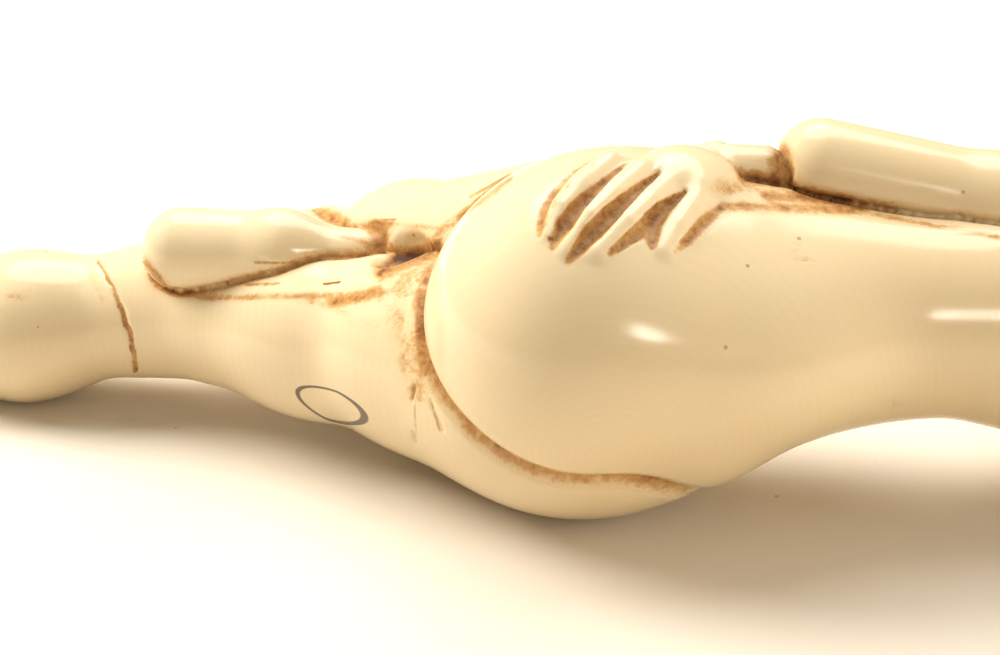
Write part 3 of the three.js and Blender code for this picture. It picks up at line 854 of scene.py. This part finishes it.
def polish(f, broken, halo):
    """A worn polish: dull on the stain, finely scratched, a little light let into the skin."""
    smudge = f.between(f.noise(210, 3), 0.3, 0.7, 0.12, 0.2)
    f.feed(f.shader.inputs["Roughness"], f.math("MULTIPLY_ADD", halo, 0.4, smudge))
    scratch = f.noise(900, 2, vector=f.mapped(rotation=(0.4, 0.9, 0.3), scale=(1, 0.08, 1)))
    surface = f.bump(scratch, 0.00002, 0.2)
    surface = f.bump(f.math("MULTIPLY", broken, -1.0), 0.00012, 0.5, surface)
    f.feed(f.shader.inputs["Normal"], surface)
    f.shader.inputs["IOR"].default_value = IVORY_IOR
    f.shader.inputs["Subsurface Weight"].default_value = 0.12
    f.shader.inputs["Subsurface Radius"].default_value = (1.0, 0.6, 0.25)
    f.shader.inputs["Subsurface Scale"].default_value = 0.0010


def aged_ivory():
    f = Finish("aged_ivory")
    amount, ragged = stain_amount(f)
    broken = f.math("MULTIPLY_ADD", ragged, 1.5, amount)
    halo = f.between(f.math("MULTIPLY_ADD", ragged, 0.5, amount), 0.04, 0.55)
    colour = stained(f, clean_ivory(f), broken, halo)
    colour = f.mix(f.math("MULTIPLY", inked_ring(f), 0.85), specked(f, colour), INK)
    f.feed(f.shader.inputs["Base Color"], colour)
    polish(f, broken, halo)
    return f.material


def pale_ground():
    f = Finish("pale_ground")
    tone = f.between(f.noise(9, 3), 0.3, 0.7)
    # Painted shade: along Y, the ground is painted darker near the front and paler towards the back
    near = f.mix(tone, GROUND_SHADED_FRONT, GROUND_SHADED_FRONT_LIGHTER)
    split = f.add("ShaderNodeSeparateXYZ")
    f.feed(split.inputs["Vector"], f.place)
    colour = f.mix(f.between(split.outputs["Y"], -0.10, 0.30), near, GROUND_LIT_BACK)
    crumbs = f.add("ShaderNodeTexVoronoi", feature="F1")
    f.feed(crumbs.inputs["Vector"], f.place)
    crumbs.inputs["Scale"].default_value = 210
    picked = f.math("LESS_THAN", crumbs.outputs["Distance"], 0.05)
    rare = f.math("GREATER_THAN", f.noise(60, 1), 0.6)
    colour = f.mix(f.math("MULTIPLY", f.math("MULTIPLY", picked, rare), 0.45), colour, CRUMB)
    f.feed(f.shader.inputs["Base Color"], colour)
    f.shader.inputs["Roughness"].default_value = 0.8
    f.feed(f.shader.inputs["Normal"], f.bump(f.noise(25, 3), 0.0012, 0.5))
    return f.material


# The camera and the light


def stand_camera():
    camera = bpy.data.objects.new("camera", bpy.data.cameras.new("camera"))
    bpy.context.scene.collection.objects.link(camera)
    camera.location = LOOK_AT + Vector(TOWARD) * CAMERA_DISTANCE
    camera.rotation_euler = (-Vector(TOWARD)).to_track_quat("-Z", "Y").to_euler()
    camera.data.angle = CAMERA_ANGLE
    camera.data.clip_start = 0.005
    bpy.context.scene.camera = camera


def soft_lamp(name, place, size, power, colour, shines):
    lamp = bpy.data.lights.new(name, "AREA")
    lamp.shape = "DISK"
    lamp.size = size
    lamp.energy = power
    lamp.color = colour
    body = bpy.data.objects.new(name, lamp)
    bpy.context.scene.collection.objects.link(body)
    body.location = place
    body.visible_glossy = shines
    body.rotation_euler = (Vector(LAMP_AIM) - Vector(place)).to_track_quat("-Z", "Y").to_euler()


def light_room():
    for lamp in LAMPS:
        soft_lamp(*lamp)
    world = bpy.data.worlds.new("room")
    world.use_nodes = True
    background = world.node_tree.nodes["Background"]
    background.inputs["Color"].default_value = ROOM_COLOUR
    background.inputs["Strength"].default_value = ROOM_STRENGTH
    bpy.context.scene.world = world
    bpy.context.scene.view_settings.view_transform = "Standard"


def lay_ground():
    bpy.ops.object.select_all(action="DESELECT")
    bpy.ops.mesh.primitive_plane_add(size=3, location=(0, 0.4, 0))
    ground = bpy.context.active_object
    ground.name = "ground"
    bpy.ops.object.transform_apply(location=True, rotation=True, scale=True)
    ground.data.materials.append(pale_ground())


def carve_figure():
    piece = rough_block(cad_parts["figure"])
    pare_down(piece.data, passes=2)
    faces = len(piece.data.polygons) * 2
    apply_modifier(piece, "SMOOTH", factor=0.5, iterations=3)
    pare_down(piece.data, passes=1, most=1.5)
    apply_modifier(piece, "DECIMATE", decimate_type="COLLAPSE", ratio=min(1, FACES_KEPT / faces))
    pare_down(piece.data, passes=2, most=1.5)
    bpy.ops.object.shade_smooth()
    lay_stain(piece)
    piece.data.materials.append(aged_ivory())
    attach(piece, "root")
    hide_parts("figure")


stand_camera()
light_room()
lay_ground()
carve_figure()
